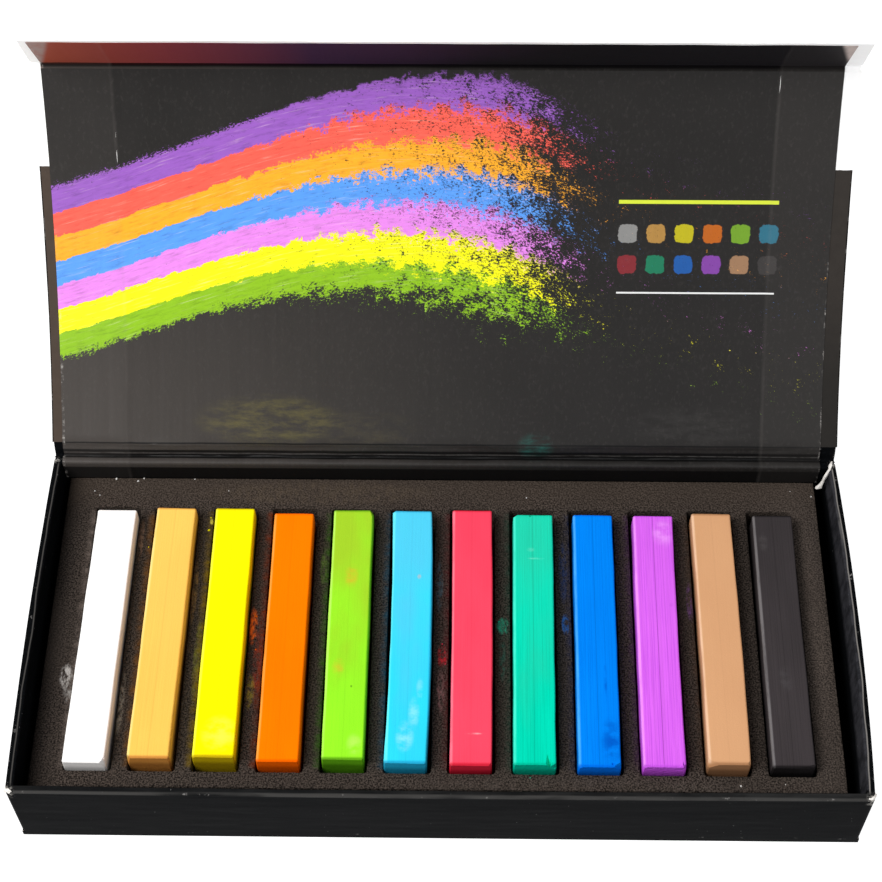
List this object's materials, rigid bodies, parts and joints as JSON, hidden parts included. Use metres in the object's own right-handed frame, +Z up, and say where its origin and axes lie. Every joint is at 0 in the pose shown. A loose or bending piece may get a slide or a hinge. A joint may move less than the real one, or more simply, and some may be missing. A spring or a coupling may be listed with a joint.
{
  "type": "pastel box",
  "caption": "Book-style hinged box of wrapped greyboard with a magnet flap and a slotted foam insert that holds a row of square soft pastels.",
  "frame": {"origin": "centre of the tray's footprint, on the face it stands on", "axes": "+Z up, +X to the right along the long side, +Y from the front wall to the hinge side"},
  "size_m": [0.1886, 0.148, 0.1118],
  "materials": {
    "black_paper": "satin",
    "liner": "satin",
    "greyboard": "matte",
    "tape": "matte",
    "foam": "matte",
    "steel": "satin",
    "magnet": "polished",
    "white": "matte",
    "ochre": "matte",
    "yellow": "matte",
    "orange": "matte",
    "lime": "matte",
    "light_blue": "matte",
    "red": "matte",
    "teal": "matte",
    "blue": "matte",
    "purple": "matte",
    "tan": "matte",
    "black": "matte"
  },
  "bodies": {
    "tray": {"base_cover_paper": "black_paper", "base_board": "greyboard", "spine_board": "greyboard", "spine_cover_paper": "black_paper", "tray_board": "greyboard", "corner_tapes": "tape", "strike_disc_left": "steel", "strike_disc_right": "steel", "tray_wrap": "black_paper", "floor_lining": "black_paper", "back_wall_liner": "liner", "foam_backing": "foam", "foam_slotted": "foam", "lid_hinge_paper": "black_paper", "lid_hinge_liner": "liner"},
    "lid": {"lid_board": "greyboard", "lid_cover_paper": "black_paper", "lid_liner": "liner", "flap_hinge_paper": "black_paper", "flap_hinge_liner": "liner"},
    "flap": {"flap_board": "greyboard", "flap_cover_paper": "black_paper", "flap_liner": "liner", "magnet_left": "magnet", "magnet_right": "magnet"},
    "white_stick": {"white_pastel": "white"},
    "ochre_stick": {"ochre_pastel": "ochre"},
    "yellow_stick": {"yellow_pastel": "yellow"},
    "orange_stick": {"orange_pastel": "orange"},
    "lime_stick": {"lime_pastel": "lime"},
    "light_blue_stick": {"light_blue_pastel": "light_blue"},
    "red_stick": {"red_pastel": "red"},
    "teal_stick": {"teal_pastel": "teal"},
    "blue_stick": {"blue_pastel": "blue"},
    "purple_stick": {"purple_pastel": "purple"},
    "tan_stick": {"tan_pastel": "tan"},
    "black_stick": {"black_pastel": "black"}
  },
  "joints": [
    {"name": "lid_hinge", "type": "hinge", "parent": "tray", "child": "lid", "pos_m": [0, 0.0456, 0.0242], "axis": [-1, 0, 0], "range_deg": [-128.5, 61.5], "deforming": ["lid_hinge_paper", "lid_hinge_liner"]},
    {"name": "flap_hinge", "type": "hinge", "parent": "lid", "child": "flap", "pos_m": [0, 0.10414, 0.09634], "axis": [-1, 0, 0], "range_deg": [-23, 67], "deforming": ["flap_hinge_paper", "flap_hinge_liner"]},
    {"name": "white_lift", "type": "slide", "parent": "tray", "child": "white_stick", "axis": [0, 0, 1], "range_m": [0, 0.04]},
    {"name": "ochre_lift", "type": "slide", "parent": "tray", "child": "ochre_stick", "axis": [0, 0, 1], "range_m": [0, 0.04]},
    {"name": "yellow_lift", "type": "slide", "parent": "tray", "child": "yellow_stick", "axis": [0, 0, 1], "range_m": [0, 0.04]},
    {"name": "orange_lift", "type": "slide", "parent": "tray", "child": "orange_stick", "axis": [0, 0, 1], "range_m": [0, 0.04]},
    {"name": "lime_lift", "type": "slide", "parent": "tray", "child": "lime_stick", "axis": [0, 0, 1], "range_m": [0, 0.04]},
    {"name": "light_blue_lift", "type": "slide", "parent": "tray", "child": "light_blue_stick", "axis": [0, 0, 1], "range_m": [0, 0.04]},
    {"name": "red_lift", "type": "slide", "parent": "tray", "child": "red_stick", "axis": [0, 0, 1], "range_m": [0, 0.04]},
    {"name": "teal_lift", "type": "slide", "parent": "tray", "child": "teal_stick", "axis": [0, 0, 1], "range_m": [0, 0.04]},
    {"name": "blue_lift", "type": "slide", "parent": "tray", "child": "blue_stick", "axis": [0, 0, 1], "range_m": [0, 0.04]},
    {"name": "purple_lift", "type": "slide", "parent": "tray", "child": "purple_stick", "axis": [0, 0, 1], "range_m": [0, 0.04]},
    {"name": "tan_lift", "type": "slide", "parent": "tray", "child": "tan_stick", "axis": [0, 0, 1], "range_m": [0, 0.04]},
    {"name": "black_lift", "type": "slide", "parent": "tray", "child": "black_stick", "axis": [0, 0, 1], "range_m": [0, 0.04]}
  ]
}
